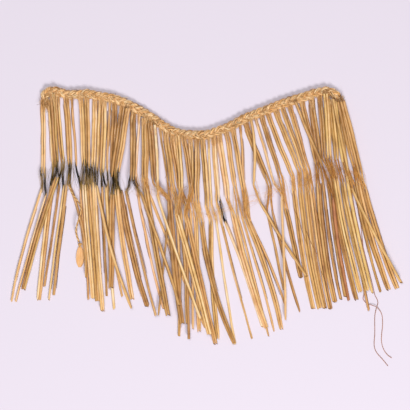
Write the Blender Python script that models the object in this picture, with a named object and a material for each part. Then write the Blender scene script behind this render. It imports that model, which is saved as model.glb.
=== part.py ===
"""A skirt of rolled flax-leaf strands on a plaited waistband, laid flat on a surface.

Lengths in the tables are millimetres, X to the wearer's left, Y up towards the waistband,
Z up off the surface. The model itself is in metres, with its origin under the middle of
the skirt (cords left out), on the surface that it lies on.

Each strand is one leaf strip. It hangs from the waistband as a rolled tube (the upper
roll), is scraped to bare fibre half way down, and goes on as a second rolled tube to a
cut tip. Two strips that lie side by side are one solid with two lobes, and where such a
pair comes apart below the fibre its solid forks.
"""
import math

import bmesh
import bpy
import numpy as np

MM = 0.001
GAP = 0.4            # clear space kept between laid strands
MIDDLE_X = -0.1      # middle of the skirt's box, which becomes the origin
MIDDLE_Y = 1.1

# ---------------------------------------------------------------- waistband
BAND_WIDTH = 15.0
BAND_HEIGHT = 7.2
BAND_PITCH = 10.0    # length of one crossing of the plait
BAND_LINE = [        # x, y of the plait's centre line, from the wearer's right to left
    (-258, 186), (-257, 194), (-250, 199), (-240, 199), (-221, 194), (-200, 195),
    (-187, 195), (-170, 191), (-150, 188), (-130, 181), (-110, 171), (-90, 159),
    (-70, 145), (-50, 134), (-25, 130), (0, 130), (20, 136), (40, 144), (60, 155),
    (80, 163), (105, 173), (130, 182), (155, 190), (180, 198), (196, 199),
    (207, 194), (212, 186)]

# ---------------------------------------------------------------- strands
ROLL = 2.4           # radius of a rolled leaf
FIBRE = 1.5          # radius of the bared fibre between the two rolls
LOBE = 0.866         # a lobe's centre from a pair's middle line, in radii
SETTLE = 0.0006      # how fast a strand comes down again past a support, per mm
LIMP = 0.008         # the same for a tie

# A row for each strand, from the wearer's right to left: x at the waistband, x and y where
# the upper roll ends, sideways sag of the upper roll, strips side by side, layer (the lowest
# is laid first), then for each leg: x and y where the lower roll starts, x and y of its tip
# and its sideways bow.
STRANDS = [
    (-260, -260, 68, 0, 2, 2, (-262, 46, -311, -137, -4), (-254, 36, -304, -137, -2)),
    (-250, -243, 78, 0, 2, 1, (-246, 48, -268, -134, -1)),
    (-245, -238, 86, 0, 2, 3, (-238, 62, -292, -117, -2)),
    (-238, -229, 86, 0, 2, 2, (-234, 50, -258, -112, 0), (-227, 50, -251, -134, 0)),
    (-223, -217, 82, 0, 2, 2, (-223, 48, -243, -126, 0), (-216, 46, -192, -98, 7)),
    (-214, -207, 80, 0, 1, 1, (-201, 44, -188, -133, 1)),
    (-200, -195, 80, 0, 2, 2, (-195, 50, -181, -131, 0)),
    (-190, -189, 76, 0, 2, 1, (-187, 50, -173, -136, 0)),
    (-177, -180, 78, 0, 2, 2, (-179, 54, -165, -151, -1)),
    (-169, -174, 72, 0, 1, 5, (-174, 48, -119, -147, -5)),
    (-163, -166, 70, 0, 2, 3, (-166, 47, -159, -128, 0), (-160, 46, -147, -148, -1)),
    (-154, -158, 71, 0, 1, 2, (-157, 48, -134, -128, -5)),
    (-146, -150, 70, 0, 2, 1, (-137, 40, -94, -144, -4)),
    (-134, -148, 62, 0, 2, 4, (-149, 34, -152, -114, 0)),
    (-125, -141, 70, 0, 2, 4, (-142, 43, -118, -133, -3)),
    (-116, -118, 56, 0, 2, 4, (-128, 40, -80, -158, -2), (-104, 38, -43, -142, 2)),
    (-107, -112, 58, 0, 1, 1, (-108, 32, -68, -148, -3)),
    (-99, -99, 58, 0, 2, 3, (-97, 46, -61, -158, 0)),
    (-94, -94, 58, 0, 1, 1, (-91, 36, -1, -178, -2)),
    (-89, -82, 54, 0, 2, 2, (-58, 24, -38, -171, -2)),
    (-81, -76, 52, 0, 1, 5, (-77, 34, -9, -163, -2)),
    (-73, -60, 44, 0, 1, 1, (-58, 12, -76, -158, 0)),
    (-64, -53, 46, 0, 2, 1, (-49, 18, -43, -192, 4), (-41, 16, -31, -172, 2)),
    (-54, -43, 48, 0, 2, 2, (-33, 14, -27, -196, 1), (-25, 10, -21, -180, 1)),
    (-45, -40, 42, 0, 2, 6, (-46, 2, 5, -188, 0)),
    (-35, -24, 44, 0, 2, 5, (-32, 0, 15, -204, 0)),
    (-25, -22, 30, 0, 2, 3, (-17, 0, -11, -184, 0)),
    (-15, -14, 22, 0, 2, 6, (-7, -10, 45, -203, -9)),
    (-5, 2, 14, 0, 2, 3, (8, -8, 19, -196, -3)),
    (4, 9, 17, 0, 1, 4, (17, -8, 47, -204, -2)),
    (12, 19, 24, 0, 2, 2, (23, -6, 73, -196, -1), (30, -8, 90, -177, 2)),
    (22, 35, 26, 0, 2, 3, (42, 6, 96, -178, -3)),
    (33, 47, 44, 0, 2, 2, (50, 3, 100, -192, 0), (57, 1, 109, -184, 2)),
    (44, 60, 42, 0, 2, 4, (64, 0, 121, -181, 5)),
    (55, 61, 48, 0, 1, 1, (70, -6, 127, -142, 2)),
    (64, 102, 48, 0, 2, 2, (98, 6, 125, -118, 0), (106, 10, 150, -152, -2)),
    (72, 76, 50, 4, 1, 5, (86, 22, 160, -96, -1)),
    (80, 109, 50, 0, 1, 6, (121, 34, 127, -166, 0)),
    (90, 120, 60, 0, 2, 3, (128, 12, 152, -98, 0)),
    (100, 138, 64, 0, 2, 3, (141, 40, 172, -148, -3)),
    (113, 149, 72, 0, 2, 2, (151, 44, 182, -147, -3)),
    (124, 157, 74, 0, 2, 3, (160, 46, 190, -147, -3)),
    (134, 164, 72, 0, 2, 2, (169, 44, 199, -148, -3)),
    (144, 186, 78, 0, 1, 5, (203, 28, 228, -134, -3)),
    (154, 177, 82, 0, 2, 4, (179, 52, 206, -137, -4)),
    (169, 181, 90, 0, 2, 2, (187, 56, 216, -133, -3), (194, 60, 222, -129, -2)),
    (182, 188, 94, 0, 2, 3, (200, 64, 240, -134, -3)),
    (191, 197, 90, 0, 2, 4, (207, 60, 246, -120, -3)),
    (200, 209, 90, 0, 2, 3, (219, 54, 257, -118, -3)),
    (206, 218, 86, 0, 1, 6, (225, 64, 266, -123, -3)),
    (209, 224, 80, 0, 2, 1, (230, 46, 260, -150, -3), (238, 48, 279, -121, -3)),
    (203, 226, 72, 0, 1, 7, (233, 44, 311, -106, -3)),
    (213, 237, 80, 0, 2, 2, (242, 58, 292, -118, -4)),
    (218, 247, 64, 0, 2, 3, (252, 46, 305, -116, -4)),
]
UPPER_RINGS = 3      # rings along an upper roll
LOWER_RINGS = 4      # rings along a lower roll
TIP = 0.85           # how far a cut tip closes in, in radii

# A single roll is a hexagon with a flat underside. A lobe of a pair has a flat underside
# and an upright inner side, which it shares with the other lobe.
SINGLE = (-120, -60, 0, 60, 120, 180)
RIGHT_LOBE = (-150, -120, -60, 10, 80, 150)

# ---------------------------------------------------------------- ties
CORD = 1.6           # radius of the twisted cord at the wearer's right
CORD_LINE = [(-219, 50), (-214, 37), (-207, 27), (-201, 17), (-199.5, 7), (-203.5, -8),
             (-206.5, -18), (-207, -28), (-205, -36), (-203, -41.5)]
# the cord's knotted end and the flat leaf tab below it: y, half width, half height
KNOT_X = -201.5
KNOT = [(-42.8, 1.0, 1.2), (-44.2, 2.6, 2.2), (-46.8, 3.2, 2.6), (-49.2, 2.2, 1.7),
        (-52, 3.8, 1.0), (-58, 6.2, 0.8), (-67, 7.2, 0.8), (-77, 5.2, 0.8), (-82, 1.8, 0.7)]
STRING = 0.65        # radius of the two thin strings at the wearer's left
CORD_STEP = 5.8      # least distance between a cord's points
STRING_A = [(217, 166), (226, 120), (238, 60), (246, 0), (252, -60), (254, -110),
            (253, -124), (251, -131), (254, -137), (260, -141), (268, -143.5), (273, -146),
            (279, -153), (282, -161), (282.5, -175), (281, -190), (281, -202), (284, -213),
            (290, -222), (297, -227)]
STRING_B = [(214, 166), (221, 120), (230, 60), (240, 0), (254, -60), (266, -108),
            (270, -126), (273, -132), (275, -138), (273.5, -145), (271.5, -152),
            (270, -162), (270, -176), (270, -190), (269, -203), (270, -212), (274, -220),
            (282, -229), (291, -240)]


def smooth_line(knots, spacing):
    """Points about `spacing` apart on a Catmull-Rom curve through the knots."""
    p = np.array(knots, float)
    p = np.vstack([2 * p[0] - p[1], p, 2 * p[-1] - p[-2]])
    fine = []
    for i in range(1, len(p) - 2):
        for t in np.linspace(0, 1, 40, endpoint=False):
            a, b, c, d = p[i - 1:i + 3]
            fine.append(0.5 * (2 * b + (c - a) * t + (2 * a - 5 * b + 4 * c - d) * t ** 2
                               + (3 * b - a - 3 * c + d) * t ** 3))
    fine = np.array(fine + [p[-2]])
    run = np.concatenate([[0], np.cumsum(np.hypot(*np.diff(fine, axis=0).T))])
    at = np.linspace(0, run[-1], max(2, round(run[-1] / spacing) + 1))
    return np.column_stack([np.interp(at, run, fine[:, k]) for k in (0, 1)])


def sideways(path):
    """Unit vectors across the path, to its right as it runs down the skirt."""
    step = np.diff(path, axis=0)
    step /= np.linalg.norm(step, axis=1)[:, None]
    way = np.vstack([step[:1], step[:-1] + step[1:], step[-1:]])
    way /= np.linalg.norm(way, axis=1)[:, None]
    return np.column_stack([-way[:, 1], way[:, 0]])


# ---------------------------------------------------------------- laying strands down
laid = []            # rods already on the surface: x, y, z, x, y, z, radius


def press(path, height, radius):
    """Note a rod that now lies there, as straight rods from ring to ring."""
    for i in range(len(path) - 1):
        laid.append((*path[i], height[i], *path[i + 1], height[i + 1],
                     max(radius[i], radius[i + 1])))


def needed(points, radius):
    """The height that a rod's axis must keep at each point to clear all that is laid."""
    least = LOW * radius
    if not laid:
        return least
    rods = np.array(laid)
    a, b = rods[None, :, 0:2], rods[None, :, 3:5]
    ab = b - a
    t = ((points[:, None] - a) * ab).sum(2) / (ab ** 2).sum(2)
    t = np.clip(t, 0, 1)
    apart = np.linalg.norm(points[:, None] - a - t[..., None] * ab, axis=2)
    reach = radius[:, None] + rods[None, :, 6] + GAP
    top = rods[None, :, 2] * (1 - t) + rods[None, :, 5] * t
    top = top + np.sqrt(np.maximum(reach ** 2 - apart ** 2, 0))
    return np.maximum(least, np.where(apart < reach, top, 0).max(1))


LOW = math.sin(math.radians(60))     # from a hexagon's middle to its flat side, in radii


def settle(chains, shared, together, drop):
    """Heights of the rings of one strand's chains, resting on what is laid.

    A chain is (path, radius). The first `shared` rings of two chains keep one height, or
    all of them when `together`. Past a support a chain comes down along a parabola of
    the rate `drop`.
    """
    profile = []
    for path, radius in chains:
        run = np.concatenate([[0], np.cumsum(np.hypot(*np.diff(path, axis=0).T))])
        s = np.linspace(0, run[-1], int(run[-1] / 1.5) + 2)
        at = np.column_stack([np.interp(s, run, path[:, k]) for k in (0, 1)])
        profile.append((run, s, needed(at, np.interp(s, run, radius))))
    height = []
    for run, s, need in profile:
        height.append((need[None] - drop * (run[:, None] - s[None]) ** 2).max(1))
    for _ in range(12):
        if len(chains) == 2:
            n = len(height[0]) if together else shared
            top = np.maximum(height[0][:n], height[1][:n])
            height[0][:n] = height[1][:n] = top
        for (run, s, need), z in zip(profile, height):
            short = need - np.interp(s, run, z)
            for i in range(len(run) - 1):
                inside = (s >= run[i] - 0.01) & (s <= run[i + 1] + 0.01)
                lack = short[inside].max() if inside.any() else 0
                if lack > 0:
                    z[i] += lack
                    z[i + 1] += lack
                    short = need - np.interp(s, run, z)
    return height


def upper_path(at, kx, ky, sag, width, edge):
    """Rings of the upper roll, from just below the waistband to the bared fibre."""
    reach = np.linspace(at - width, at + width, 9)
    top = min(edge(x) for x in reach) - 0.3
    t = np.linspace(0, 1, UPPER_RINGS)[:, None]
    line = (1 - t) * np.array([[at, top]]) + t * np.array([[kx, ky]])
    line[:, 0] += (sag * 4 * t * (1 - t))[:, 0]
    return line


def leg_path(kx, ky, leg):
    """Rings from the middle of the bared fibre, down the lower roll, to the tip."""
    lx, ly, tx, ty, bow = leg
    t = np.linspace(0, 1, LOWER_RINGS)[:, None]
    line = (1 - t) * np.array([[lx, ly]]) + t * np.array([[tx, ty]])
    line[:, 0] += (bow * 4 * t * (1 - t))[:, 0]
    middle = np.array([[(kx + lx) / 2, (ky + ly) / 2]])
    return np.vstack([middle, line])


def radii(rings):
    """Radius at each ring of a chain: the roll, the fibre, the roll and its tip."""
    r = np.full(rings, ROLL)
    r[UPPER_RINGS] = FIBRE
    r[-1] = ROLL * TIP
    return r


# ---------------------------------------------------------------- solids
def material(name, colour, roughness):
    """A plain Principled BSDF material."""
    mat = bpy.data.materials.new(name)
    mat.use_nodes = True
    bsdf = mat.node_tree.nodes["Principled BSDF"]
    bsdf.inputs["Base Color"].default_value = (*colour, 1)
    bsdf.inputs["Roughness"].default_value = roughness
    bsdf.inputs["Metallic"].default_value = 0.0
    return mat


def add_object(name, verts, faces, mat):
    """One object from points in millimetres, with its own origin at its first point."""
    v = (np.array(verts, float) - (MIDDLE_X, MIDDLE_Y, 0)) * MM
    home = (v[0][0], v[0][1], 0.0)
    bm = bmesh.new()
    made = [bm.verts.new(p - home) for p in v]
    for f in faces:
        bm.faces.new([made[i] for i in f])
    bmesh.ops.triangulate(bm, faces=bm.faces)
    bmesh.ops.recalc_face_normals(bm, faces=bm.faces)
    mesh = bpy.data.meshes.new(name)
    bm.to_mesh(mesh)
    bm.free()
    obj = bpy.data.objects.new(name, mesh)
    obj.location = home
    mesh.materials.append(mat)
    bpy.context.collection.objects.link(obj)
    return obj


def ring_points(centre, across, z, r, angles, flip=1):
    """Corners of one ring, on a circle about its centre, in an upright plane."""
    out = []
    for a in angles:
        u, w = flip * r * math.cos(math.radians(a)), r * math.sin(math.radians(a))
        out.append((centre[0] + u * across[0], centre[1] + u * across[1], z + w))
    return out


def tube_faces(first, second):
    """Quads between two rings of vertex numbers."""
    n = len(first)
    return [(first[j], first[(j + 1) % n], second[(j + 1) % n], second[j])
            for j in range(n)]


def build_strand(name, row, edge, mat):
    """One strand, pair or forked pair, laid down on all that lies there already."""
    at, kx, ky, sag, count, layer, *legs = row
    width = ROLL * (2 if count == 2 else 1) + 0.4
    upper = upper_path(at, kx, ky, sag, width, edge)
    if count == 1:
        path = np.vstack([upper, leg_path(kx, ky, legs[0])])
        r = radii(len(path))
        z, = settle([(path, r)], 0, False, SETTLE)
        press(path, z, r)
        across = sideways(path)
        verts, rings = [], []
        for p, a, h, q in zip(path, across, z, r):
            rings.append(list(range(len(verts), len(verts) + 6)))
            verts += ring_points(p, a, h, q, SINGLE)
        faces = [f for a, b in zip(rings, rings[1:]) for f in tube_faces(a, b)]
        faces += [rings[0], rings[-1]]
        return add_object(name, verts, faces, mat)

    lanes, across_lanes = [], []
    for side, leg in ((-1, legs[0]), (1, legs[-1])):
        path = np.vstack([upper, leg_path(kx, ky, leg)])
        across = sideways(path)
        r = radii(len(path))
        if len(legs) == 2:
            across[UPPER_RINGS - 1] = sideways(upper)[-1]
            path = path.copy()
            path[:UPPER_RINGS] += side * LOBE * ROLL * across[:UPPER_RINGS]
        else:
            path = path + side * LOBE * r[:, None] * across
        lanes.append((path, r))
        across_lanes.append(across)
    heights = settle(lanes, UPPER_RINGS, len(legs) == 1, SETTLE)
    verts, rings = [], [[], []]
    for lane, side in ((0, -1), (1, 1)):
        path, r = lanes[lane]
        for i in range(len(path)):
            corners = ring_points(path[i], across_lanes[lane][i], heights[lane][i], r[i],
                                  RIGHT_LOBE, side)
            joined = len(legs) == 1 or i < UPPER_RINGS
            ids = list(range(len(verts), len(verts) + 6))
            if lane == 1 and joined:
                # corners 0 and 5 are the shared upright side
                first = rings[0][i]
                ids = [first[0], *range(len(verts), len(verts) + 4), first[5]]
                verts += corners[1:5]
            else:
                verts += corners
            rings[lane].append(ids)
    faces = []
    count_rings = len(rings[0])
    for lane in (0, 1):
        for i in range(count_rings - 1):
            joined = len(legs) == 1 or i + 1 < UPPER_RINGS
            quads = tube_faces(rings[lane][i], rings[lane][i + 1])
            faces += quads[:5] if joined else quads
        faces += [rings[lane][0], rings[lane][-1]]
    for (path, r), z in zip(lanes, heights):
        press(path, z, r)
    return add_object(name, verts, faces, mat)


def build_band(line, mat):
    """The plait as one rounded solid with a flat underside, a ring at each crossing."""
    half, high = BAND_WIDTH / 2, BAND_HEIGHT
    section = [(-0.66, 0), (0.66, 0), (1, 0.3), (0.93, 0.7), (0.45, 1), (-0.45, 1),
               (-0.93, 0.7), (-1, 0.3)]
    across = sideways(line)
    verts, rings = [], []
    for i, (p, a) in enumerate(zip(line, across)):
        end = i in (0, len(line) - 1)
        swell = 0.72 if end else (0.97 if i % 2 else 1.0)
        rings.append(list(range(len(verts), len(verts) + len(section))))
        for u, w in section:
            z = w * high * (0.8 if end else 1)
            verts.append((p[0] + u * half * swell * a[0], p[1] + u * half * swell * a[1], z))
    faces = [f for a, b in zip(rings, rings[1:]) for f in tube_faces(a, b)]
    faces += [rings[0], rings[-1]]
    return add_object("waistband", verts, faces, mat)


def build_tab(mat):
    """The knot at the cord's end and the flat leaf tab below it, lofted as one solid."""
    verts, rings = [], []
    for y, half, high in KNOT:
        rings.append(list(range(len(verts), len(verts) + 8)))
        for a in (-112.5, -67.5, -22.5, 22.5, 67.5, 112.5, 157.5, 202.5):
            u = half * math.cos(math.radians(a)) / math.cos(math.radians(22.5))
            w = high * math.sin(math.radians(a)) / math.cos(math.radians(22.5))
            verts.append((KNOT_X + u, y, w + high))
    faces = [f for a, b in zip(rings, rings[1:]) for f in tube_faces(a, b)]
    faces += [rings[0], rings[-1]]
    for (y0, w0, h0), (y1, w1, h1) in zip(KNOT, KNOT[1:]):
        for u in np.linspace(-0.8, 0.8, 7):
            high = max(h0, h1)
            press(np.array([(KNOT_X + u * w0, y0), (KNOT_X + u * w1, y1)]),
                  np.array([high, high]), np.array([high, high]))
    return add_object("tie_knot_tab", verts, faces, mat)


def build_cord(name, line, radius, mat):
    """A round cord along a smooth line, over whatever is laid there already."""
    path = smooth_line(line, max(radius * 5, CORD_STEP))
    r = np.full(len(path), radius)
    z, = settle([(path, r / LOW)], 0, False, LIMP)
    press(path, z, r)
    curve = bpy.data.curves.new(name, "CURVE")
    curve.dimensions = "3D"
    curve.bevel_depth = radius * MM
    curve.bevel_resolution = 2
    curve.use_fill_caps = True
    spline = curve.splines.new("POLY")
    spline.points.add(len(path) - 1)
    for point, p, h in zip(spline.points, path, z):
        point.co = ((p[0] - MIDDLE_X) * MM, (p[1] - MIDDLE_Y) * MM, h * MM, 1)
    curve.materials.append(mat)
    obj = bpy.data.objects.new(name, curve)
    bpy.context.collection.objects.link(obj)
    return obj


def main():
    for obj in list(bpy.data.objects):
        bpy.data.objects.remove(obj, do_unlink=True)
    leaf = material("rolled_leaf", (0.52, 0.30, 0.10), 0.55)
    plait = material("plaited_fibre", (0.50, 0.27, 0.10), 0.7)
    gold = material("gold_twine", (0.60, 0.36, 0.13), 0.65)
    twine = material("brown_twine", (0.33, 0.18, 0.12), 0.75)

    line = smooth_line(BAND_LINE, BAND_PITCH)
    fine = smooth_line(BAND_LINE, 1.0)

    def edge(x):
        """The waistband's lower edge at this x."""
        half = BAND_WIDTH / 2
        near = fine[np.abs(fine[:, 0] - x) < half]
        if not len(near):
            return 183.0
        return (near[:, 1] - np.sqrt(half ** 2 - (near[:, 0] - x) ** 2)).min()

    build_band(line, plait)
    build_tab(leaf)
    knot_rods = len(laid)
    build_cord("tie_string_b", STRING_B, STRING, twine)
    build_cord("tie_string_a", STRING_A, STRING, twine)
    named = [("strand_%02d" % (i + 1), row) for i, row in enumerate(STRANDS)]
    for name, row in sorted(named, key=lambda pair: pair[1][5]):
        build_strand(name, row, edge, leaf)
    del laid[:knot_rods]     # the cord runs into the knot, so it lies on the rest alone
    build_cord("tie_cord", CORD_LINE, CORD, gold)

    bpy.context.view_layer.update()
    solid = np.array([o.matrix_world @ v.co for o in bpy.data.objects
                      if o.type == "MESH" and o.name != "tie_knot_tab"
                      for v in o.data.vertices]) / MM
    print("skirt without its ties, mm:", solid.min(0).round(2), solid.max(0).round(2))
    print("its middle, mm:", ((solid.min(0) + solid.max(0)) / 2).round(3))


main()
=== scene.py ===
# %% [markdown]
# # A skirt of rolled flax leaf, laid flat
# The skirt is a plaited waistband with leaf strips hanging from it. Each strip is a rolled
# tube at the top, a stretch scraped to bare fibre in the middle and a rolled tube again
# below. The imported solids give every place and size. This lesson covers each of them with
# the leaf, fibre and cord that the real one shows.

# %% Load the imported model
import math

import bpy
import numpy as np
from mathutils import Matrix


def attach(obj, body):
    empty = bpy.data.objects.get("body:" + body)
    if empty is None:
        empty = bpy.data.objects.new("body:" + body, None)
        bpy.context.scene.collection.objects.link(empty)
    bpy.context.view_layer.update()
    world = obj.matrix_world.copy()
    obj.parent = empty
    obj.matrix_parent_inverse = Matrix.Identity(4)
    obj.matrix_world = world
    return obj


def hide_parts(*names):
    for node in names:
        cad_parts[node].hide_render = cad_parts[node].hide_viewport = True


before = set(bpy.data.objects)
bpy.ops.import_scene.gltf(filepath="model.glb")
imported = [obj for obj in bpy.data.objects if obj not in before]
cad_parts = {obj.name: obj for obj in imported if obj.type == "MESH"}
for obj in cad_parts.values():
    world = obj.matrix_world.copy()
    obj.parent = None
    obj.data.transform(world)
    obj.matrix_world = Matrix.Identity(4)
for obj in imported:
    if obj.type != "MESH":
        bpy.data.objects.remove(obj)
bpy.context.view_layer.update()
MM = 0.001


def put(name, data):
    """An object in the scene, at the origin, with this mesh, light or camera."""
    obj = bpy.data.objects.new(name, data)
    bpy.context.collection.objects.link(obj)
    return obj


print("packed nodes:", len(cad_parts))

# %% [markdown]
# ## Camera
# The skirt lies on a table and is looked at from straight above. A long lens far away keeps
# the strands at the edge from leaning, and the frame is a little wider than the skirt.

# %% Camera straight above
VIEW_WIDTH = 656.0                 # mm seen across the frame
CAMERA_HEIGHT = 2400.0             # mm above the table
SENSOR = 36.0                      # mm
camera_data = bpy.data.cameras.new("camera")
camera_data.sensor_width = SENSOR
camera_data.lens = SENSOR * CAMERA_HEIGHT / VIEW_WIDTH
camera_data.clip_end = 50.0
camera = put("camera", camera_data)
camera.location = (-1.5 * MM, 16.4 * MM, CAMERA_HEIGHT * MM)
bpy.context.scene.camera = camera
bpy.context.scene.view_settings.view_transform = "Standard"
print("lens, mm:", round(camera_data.lens))

# %% [markdown]
# ## The skirt's own sizes
# The tables say where the waistband runs and where each strand leaves it, turns to fibre,
# starts its lower roll and ends. They are the sizes that the solids were made from, in
# millimetres before the middle of the skirt is moved to the origin.

# %% Waistband and strand tables
MIDDLE = np.array([-0.1, 1.1])
BAND_WIDTH, BAND_HEIGHT, BAND_PITCH = 15.0, 7.2, 10.0
BAND_LINE = [
    (-258, 186), (-257, 194), (-250, 199), (-240, 199), (-221, 194), (-200, 195),
    (-187, 195), (-170, 191), (-150, 188), (-130, 181), (-110, 171), (-90, 159),
    (-70, 145), (-50, 134), (-25, 130), (0, 130), (20, 136), (40, 144), (60, 155),
    (80, 163), (105, 173), (130, 182), (155, 190), (180, 198), (196, 199),
    (207, 194), (212, 186)]
# A row for each strand, from the wearer's right to left: x at the waistband, x and y where
# the upper roll ends, sideways sag of the upper roll, strips side by side, layer (the lowest
# is laid first), then for each leg: x and y where the lower roll starts, x and y of its tip
# and its sideways bow.
STRANDS = [
    (-260, -260, 68, 0, 2, 2, (-262, 46, -311, -137, -4), (-254, 36, -304, -137, -2)),
    (-250, -243, 78, 0, 2, 1, (-246, 48, -268, -134, -1)),
    (-245, -238, 86, 0, 2, 3, (-238, 62, -292, -117, -2)),
    (-238, -229, 86, 0, 2, 2, (-234, 50, -258, -112, 0), (-227, 50, -251, -134, 0)),
    (-223, -217, 82, 0, 2, 2, (-223, 48, -243, -126, 0), (-216, 46, -192, -98, 7)),
    (-214, -207, 80, 0, 1, 1, (-201, 44, -188, -133, 1)),
    (-200, -195, 80, 0, 2, 2, (-195, 50, -181, -131, 0)),
    (-190, -189, 76, 0, 2, 1, (-187, 50, -173, -136, 0)),
    (-177, -180, 78, 0, 2, 2, (-179, 54, -165, -151, -1)),
    (-169, -174, 72, 0, 1, 5, (-174, 48, -119, -147, -5)),
    (-163, -166, 70, 0, 2, 3, (-166, 47, -159, -128, 0), (-160, 46, -147, -148, -1)),
    (-154, -158, 71, 0, 1, 2, (-157, 48, -134, -128, -5)),
    (-146, -150, 70, 0, 2, 1, (-137, 40, -94, -144, -4)),
    (-134, -148, 62, 0, 2, 4, (-149, 34, -152, -114, 0)),
    (-125, -141, 70, 0, 2, 4, (-142, 43, -118, -133, -3)),
    (-116, -118, 56, 0, 2, 4, (-128, 40, -80, -158, -2), (-104, 38, -43, -142, 2)),
    (-107, -112, 58, 0, 1, 1, (-108, 32, -68, -148, -3)),
    (-99, -99, 58, 0, 2, 3, (-97, 46, -61, -158, 0)),
    (-94, -94, 58, 0, 1, 1, (-91, 36, -1, -178, -2)),
    (-89, -82, 54, 0, 2, 2, (-58, 24, -38, -171, -2)),
    (-81, -76, 52, 0, 1, 5, (-77, 34, -9, -163, -2)),
    (-73, -60, 44, 0, 1, 1, (-58, 12, -76, -158, 0)),
    (-64, -53, 46, 0, 2, 1, (-49, 18, -43, -192, 4), (-41, 16, -31, -172, 2)),
    (-54, -43, 48, 0, 2, 2, (-33, 14, -27, -196, 1), (-25, 10, -21, -180, 1)),
    (-45, -40, 42, 0, 2, 6, (-46, 2, 5, -188, 0)),
    (-35, -24, 44, 0, 2, 5, (-32, 0, 15, -204, 0)),
    (-25, -22, 30, 0, 2, 3, (-17, 0, -11, -184, 0)),
    (-15, -14, 22, 0, 2, 6, (-7, -10, 45, -203, -9)),
    (-5, 2, 14, 0, 2, 3, (8, -8, 19, -196, -3)),
    (4, 9, 17, 0, 1, 4, (17, -8, 47, -204, -2)),
    (12, 19, 24, 0, 2, 2, (23, -6, 73, -196, -1), (30, -8, 90, -177, 2)),
    (22, 35, 26, 0, 2, 3, (42, 6, 96, -178, -3)),
    (33, 47, 44, 0, 2, 2, (50, 3, 100, -192, 0), (57, 1, 109, -184, 2)),
    (44, 60, 42, 0, 2, 4, (64, 0, 121, -181, 5)),
    (55, 61, 48, 0, 1, 1, (70, -6, 127, -142, 2)),
    (64, 102, 48, 0, 2, 2, (98, 6, 125, -118, 0), (106, 10, 150, -152, -2)),
    (72, 76, 50, 4, 1, 5, (86, 22, 160, -96, -1)),
    (80, 109, 50, 0, 1, 6, (121, 34, 127, -166, 0)),
    (90, 120, 60, 0, 2, 3, (128, 12, 152, -98, 0)),
    (100, 138, 64, 0, 2, 3, (141, 40, 172, -148, -3)),
    (113, 149, 72, 0, 2, 2, (151, 44, 182, -147, -3)),
    (124, 157, 74, 0, 2, 3, (160, 46, 190, -147, -3)),
    (134, 164, 72, 0, 2, 2, (169, 44, 199, -148, -3)),
    (144, 186, 78, 0, 1, 5, (203, 28, 228, -134, -3)),
    (154, 177, 82, 0, 2, 4, (179, 52, 206, -137, -4)),
    (169, 181, 90, 0, 2, 2, (187, 56, 216, -133, -3), (194, 60, 222, -129, -2)),
    (182, 188, 94, 0, 2, 3, (200, 64, 240, -134, -3)),
    (191, 197, 90, 0, 2, 4, (207, 60, 246, -120, -3)),
    (200, 209, 90, 0, 2, 3, (219, 54, 257, -118, -3)),
    (206, 218, 86, 0, 1, 6, (225, 64, 266, -123, -3)),
    (209, 224, 80, 0, 2, 1, (230, 46, 260, -150, -3), (238, 48, 279, -121, -3)),
    (203, 226, 72, 0, 1, 7, (233, 44, 311, -106, -3)),
    (213, 237, 80, 0, 2, 2, (242, 58, 292, -118, -4)),
    (218, 247, 64, 0, 2, 3, (252, 46, 305, -116, -4)),
]
GAP = 0.4                          # clear space between what is laid
ROLL, FIBRE, TIP = 2.4, 1.5, 0.85  # a strip's radius rolled and scraped, and its tip's share
LOBE = 0.866                       # how far a pair's two centres are from the middle, in radii
SETTLE, LIMP = 0.0006, 0.008       # how fast a strand and a tie come down past a support
ROUNDS, SPACING = 12, 1.5          # how often, and how closely, a strand's rest is looked at
UPPER_RINGS, LOWER_RINGS = 3, 4
STRIPS, LAYER = 4, 5               # the places of these two in a strand's row
FORKED = 8                         # how long a row with two legs is
LOW = math.sin(math.radians(60))   # a six-sided rod's half height, in radii
EDGE_AT_ENDS = 183.0               # y of the waistband's lower edge beyond its two ends
names = ["strand_%02d" % (i + 1) for i in range(len(STRANDS))]
print("strands:", len(STRANDS), "strips:", sum(row[STRIPS] for row in STRANDS))

# %% The ties' routes
CORD, STRING = 1.6, 0.65           # radii
CORD_STEP = 5.8                    # the least length of one straight piece of a solid cord
CORD_LINE = [(-219, 50), (-214, 37), (-207, 27), (-201, 17), (-199.5, 7), (-203.5, -8),
             (-206.5, -18), (-207, -28), (-205, -36), (-203, -41.5)]
KNOT_X = -201.5
# y, half width and half height of each section of the knot, then of the leaf tab
KNOT = [(-42.8, 1.0, 1.2), (-44.2, 2.6, 2.2), (-46.8, 3.2, 2.6), (-49.2, 2.2, 1.7),
        (-52, 3.8, 1.0), (-58, 6.2, 0.8), (-67, 7.2, 0.8), (-77, 5.2, 0.8), (-82, 1.8, 0.7)]
STRING_A = [(217, 166), (226, 120), (238, 60), (246, 0), (252, -60), (254, -110),
            (253, -124), (251, -131), (254, -137), (260, -141), (268, -143.5), (273, -146),
            (279, -153), (282, -161), (282.5, -175), (281, -190), (281, -202), (284, -213),
            (290, -222), (297, -227)]
STRING_B = [(214, 166), (221, 120), (230, 60), (240, 0), (254, -60), (266, -108),
            (270, -126), (273, -132), (275, -138), (273.5, -145), (271.5, -152),
            (270, -162), (270, -176), (270, -190), (269, -203), (270, -212), (274, -220),
            (282, -229), (291, -240)]
print("tie routes: 3")

# %% [markdown]
# ## How the strands lie on each other
# A stiff reed laid on a heap touches it where it passes over other reeds and comes down
# slowly on either side. Each strand is laid in turn. Its height is the greatest that any
# rod below asks for, where a rod asks for its own height plus the drop of two round
# sections that just touch. The solids were stacked by the same rule.

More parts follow.
